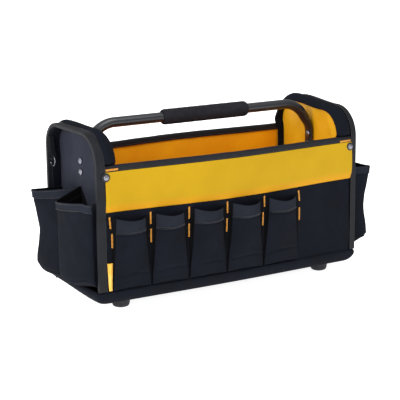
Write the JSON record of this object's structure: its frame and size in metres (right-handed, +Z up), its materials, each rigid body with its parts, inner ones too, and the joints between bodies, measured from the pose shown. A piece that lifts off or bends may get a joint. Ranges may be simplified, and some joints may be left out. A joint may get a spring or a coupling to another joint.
{
  "type": "open top tool tote",
  "caption": "Open top cloth tool tote with domed ends, a riveted tubular carrying handle, a foam grip, outer pockets and rubber feet.",
  "frame": {"origin": "on the floor under the middle of the object's box", "axes": "+X along the long front to the right, -Y out of the pocketed front, +Z up"},
  "size_m": [0.5692, 0.2226, 0.2991],
  "materials": {
    "black_cloth": "charcoal woven polyester, coated",
    "binding_tape": "black woven binding tape and webbing",
    "yellow_cloth": "yellow woven polyester, plain",
    "orange_lining": "orange-yellow woven lining",
    "tab_cloth": "folded light orange tape, bare",
    "tube_finish": "black satin powder coat on steel tube",
    "grip_foam": "matt black foam rubber",
    "foot_rubber": "matt black moulded rubber",
    "washer_plastic": "black plastic washer",
    "rivet_steel": "plated steel",
    "ring_steel": "bright plated steel wire"
  },
  "bodies": {
    "root": {"base_tray": "black_cloth", "floor_lining": "orange_lining", "foot_left_front": "foot_rubber", "foot_left_rear": "foot_rubber", "foot_right_front": "foot_rubber", "foot_right_rear": "foot_rubber", "front_wall": "black_cloth", "front_lining": "orange_lining", "front_top_binding": "binding_tape", "back_wall": "black_cloth", "back_lining": "orange_lining", "back_top_binding": "binding_tape", "front_band": "yellow_cloth", "rim_binding_left": "binding_tape", "rim_binding_right": "binding_tape", "hoop_left": "black_cloth", "hoop_right": "black_cloth", "end_board_left": "black_cloth", "end_board_right": "black_cloth", "end_lining_left": "orange_lining", "end_lining_right": "orange_lining", "front_pocket_1": "black_cloth", "front_pocket_2": "black_cloth", "front_pocket_3": "black_cloth", "front_pocket_4": "black_cloth", "front_pocket_5": "black_cloth", "end_pocket_left_front": "black_cloth", "end_pocket_left_rear": "black_cloth", "end_pocket_right_front": "black_cloth", "end_pocket_right_rear": "black_cloth", "handle_tube": "tube_finish", "foam_grip": "grip_foam", "handle_rivet_left_upper": "rivet_steel", "handle_rivet_left_lower": "rivet_steel", "handle_rivet_right_upper": "rivet_steel", "handle_rivet_right_lower": "rivet_steel", "corner_washer_left": "washer_plastic", "corner_rivet_left": "rivet_steel", "corner_washer_right": "washer_plastic", "corner_rivet_right": "rivet_steel", "label_tab": "tab_cloth", "clip_loop": "binding_tape", "clip_ring": "ring_steel"}
  },
  "joints": []
}
